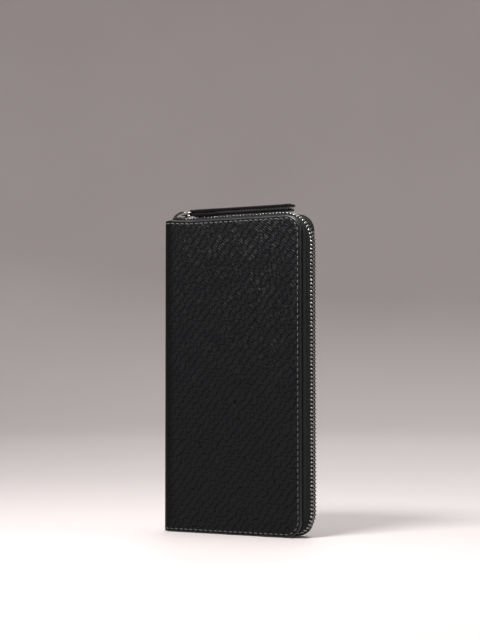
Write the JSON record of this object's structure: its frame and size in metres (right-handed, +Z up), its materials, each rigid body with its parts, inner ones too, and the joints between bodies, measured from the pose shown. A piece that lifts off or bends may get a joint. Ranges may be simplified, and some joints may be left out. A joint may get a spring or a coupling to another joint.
{
  "type": "long wallet",
  "caption": "Tall zip-around wallet in grained leather, standing on end: two stiff covers, rounded spine, metal zip on three sides, leather pull, card rows and coin pocket inside.",
  "frame": {"origin": "centre of the overall box in X and Y, at the foot of the covers, which stand on Z = 0", "axes": "+Z up along the covers' long side, +X from the spine to the long run of the zip, -Y out of the front cover"},
  "size_m": [0.105, 0.018, 0.2026],
  "materials": {
    "cover_leather": "black leather with a fine diagonal pebble grain, low sheen, painted edges, grey stitching",
    "inner_leather": "smooth black leather, low sheen",
    "board": "pressed fibre stiffener, never seen",
    "lining": "dark woven twill",
    "zip_tape": "very dark green-black woven tape",
    "zip_metal": "polished gunmetal silver plating",
    "coil": "black nylon coil"
  },
  "bodies": {
    "back": {"back_leather": "cover_leather", "back_board": "board", "back_lining": "lining", "back_card_panel": "inner_leather", "back_card_row_1": "inner_leather", "back_card_row_2": "inner_leather", "back_card_row_3": "inner_leather", "back_gusset_top": "inner_leather", "back_gusset_bottom": "inner_leather", "back_zip_tape": "zip_tape", "back_zip_teeth": "zip_metal", "back_top_stop": "zip_metal", "spine": "cover_leather", "bottom_stop": "zip_metal"},
    "front": {"front_leather": "cover_leather", "front_board": "board", "front_lining": "lining", "front_card_panel": "inner_leather", "front_card_row_1": "inner_leather", "front_card_row_2": "inner_leather", "front_card_row_3": "inner_leather", "front_gusset_top": "inner_leather", "front_gusset_bottom": "inner_leather", "front_zip_tape": "zip_tape", "front_zip_teeth": "zip_metal", "front_top_stop": "zip_metal"},
    "divider": {"coin_wall_back": "inner_leather", "coin_wall_front": "inner_leather", "coin_binding": "inner_leather", "coin_tape_back": "zip_tape", "coin_tape_front": "zip_tape", "coin_coil_back": "coil", "coin_coil_front": "coil"},
    "coin_slider": {"coin_slider": "zip_metal"},
    "coin_pull": {"coin_pull": "zip_metal"},
    "zip_slider": {"zip_slider": "zip_metal"},
    "pull_link": {"pull_link": "zip_metal"},
    "pull_strap": {"pull_strap": "cover_leather"}
  },
  "joints": [
    {"name": "cover_hinge", "type": "hinge", "parent": "back", "child": "front", "pos_m": [-0.049, 0, 0.0975], "axis": [0, 0, -1], "range_deg": [0, 60], "deforming": ["spine", "back_gusset_top", "back_gusset_bottom", "front_gusset_top", "front_gusset_bottom", "back_zip_tape", "back_zip_teeth", "front_zip_tape", "front_zip_teeth"]},
    {"name": "divider_hinge", "type": "hinge", "parent": "back", "child": "divider", "pos_m": [-0.049, 0, 0.0975], "axis": [0, 0, -1], "range_deg": [0, 30], "deforming": ["back_gusset_top", "back_gusset_bottom", "front_gusset_top", "front_gusset_bottom"]},
    {"name": "zip_slide", "type": "slide", "parent": "back", "child": "zip_slider", "axis": [1, 0, 0], "range_m": [0, 0.07], "deforming": ["back_zip_tape", "back_zip_teeth", "front_zip_tape", "front_zip_teeth"]},
    {"name": "link_hinge", "type": "hinge", "parent": "zip_slider", "child": "pull_link", "pos_m": [-0.0397, 0, 0.1997], "axis": [0, -1, 0], "range_deg": [0, 120]},
    {"name": "strap_hinge", "type": "hinge", "parent": "pull_link", "child": "pull_strap", "pos_m": [-0.0326, 0, 0.2007], "axis": [0, -1, 0], "range_deg": [0, 45]},
    {"name": "coin_slide", "type": "slide", "parent": "divider", "child": "coin_slider", "axis": [0, 0, -1], "range_m": [0, 0.15], "deforming": ["coin_tape_back", "coin_tape_front", "coin_coil_back", "coin_coil_front"]},
    {"name": "coin_pull_hinge", "type": "hinge", "parent": "coin_slider", "child": "coin_pull", "pos_m": [0.04165, 0, 0.17065], "axis": [0, -1, 0], "range_deg": [0, 30]}
  ],
  "couplings": [
    {"joint": "divider_hinge", "follows": "cover_hinge", "ratio": 0.5}
  ]
}
